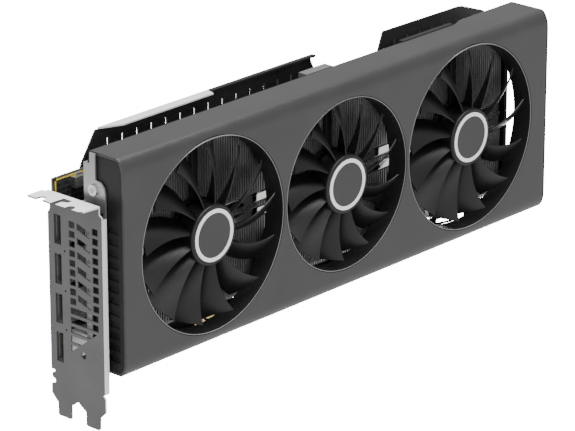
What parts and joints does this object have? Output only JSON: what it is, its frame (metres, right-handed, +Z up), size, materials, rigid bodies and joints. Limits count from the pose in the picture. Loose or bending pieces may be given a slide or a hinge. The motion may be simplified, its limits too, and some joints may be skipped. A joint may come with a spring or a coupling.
{
  "type": "graphics card",
  "caption": "Desktop graphics card with a long grey shroud, three bladed fans, fin stacks, slotted backplate, slot bracket with video ports and an edge connector.",
  "frame": {"origin": "edge connector: centre of the key notch, bottom edge of the contacts, middle of the board", "axes": "+X along the card from the slot bracket to the tail, +Z up away from the edge connector, fans face -Y and the backplate faces +Y"},
  "size_m": [0.3534, 0.05, 0.1447],
  "materials": {
    "shroud_paint": "satin",
    "frame_black": "matte",
    "fan_plastic": "satin",
    "ring_white": "satin",
    "fin_metal": "satin",
    "pipe_nickel": "polished",
    "pipe_copper": "polished",
    "steel": "brushed",
    "bearing_brass": "satin",
    "winding_copper": "satin",
    "board_black": "semi gloss",
    "contact_gold": "polished",
    "chip_black": "matte",
    "die_silicon": "polished",
    "choke_grey": "matte",
    "can_metal": "satin",
    "pad_grey": "matte",
    "plate_black": "satin",
    "trim_silver": "brushed",
    "bracket_grey": "satin",
    "ear_metal": "brushed",
    "port_metal": "satin",
    "socket_black": "matte",
    "cable_black": "matte",
    "lever_silver": "satin"
  },
  "bodies": {
    "card": {"backplate": "plate_black", "backplate_screws": "steel", "backplate_trim": "trim_silver", "bracket_ear": "ear_metal", "bracket_screws": "steel", "capacitors": "can_metal", "cold_plate": "pipe_copper", "die_clamp": "steel", "digital_video_port_1": "port_metal", "digital_video_port_2": "port_metal", "digital_video_port_3": "port_metal", "digital_video_port_4": "port_metal", "edge_contacts": "contact_gold", "fan_base_1": "frame_black", "fan_base_2": "frame_black", "fan_base_3": "frame_black", "fan_bearing_1": "bearing_brass", "fan_bearing_2": "bearing_brass", "fan_bearing_3": "bearing_brass", "fan_duct_1": "frame_black", "fan_duct_2": "frame_black", "fan_duct_3": "frame_black", "fan_header": "socket_black", "fan_leads": "cable_black", "fan_stator_1": "winding_copper", "fan_stator_2": "winding_copper", "fan_stator_3": "winding_copper", "fin_stack_main": "fin_metal", "fin_stack_tail": "fin_metal", "gpu_die": "die_silicon", "gpu_package": "board_black", "heat_pipe_1": "pipe_nickel", "heat_pipe_2": "pipe_nickel", "heat_pipe_3": "pipe_nickel", "heat_pipe_4": "pipe_copper", "inner_frame": "frame_black", "memory_chips": "chip_black", "memory_plate": "fin_metal", "pcb": "board_black", "power_connector_1": "socket_black", "power_connector_2": "socket_black", "power_inductors": "choke_grey", "power_transistors": "chip_black", "shroud": "shroud_paint", "slot_bracket": "bracket_grey", "switch_body": "socket_black", "thermal_pads": "pad_grey", "vrm_heatsink": "bracket_grey"},
    "fan_1": {"fan_rotor_1": "fan_plastic", "hub_ring_1": "ring_white", "fan_shaft_1": "steel"},
    "fan_2": {"fan_rotor_2": "fan_plastic", "hub_ring_2": "ring_white", "fan_shaft_2": "steel"},
    "fan_3": {"fan_rotor_3": "fan_plastic", "hub_ring_3": "ring_white", "fan_shaft_3": "steel"},
    "switch_lever": {"switch_slider": "lever_silver"}
  },
  "joints": [
    {"name": "fan_1_spin", "type": "hinge", "parent": "card", "child": "fan_1", "pos_m": [0.0142, -0.03725, 0.07255], "axis": [0, 1, 0], "continuous": true},
    {"name": "fan_2_spin", "type": "hinge", "parent": "card", "child": "fan_2", "pos_m": [0.1156, -0.03725, 0.07255], "axis": [0, 1, 0], "continuous": true},
    {"name": "fan_3_spin", "type": "hinge", "parent": "card", "child": "fan_3", "pos_m": [0.2168, -0.03725, 0.07255], "axis": [0, 1, 0], "continuous": true},
    {"name": "switch_slide", "type": "slide", "parent": "card", "child": "switch_lever", "axis": [1, 0, 0], "range_m": [0, 0.002]}
  ]
}
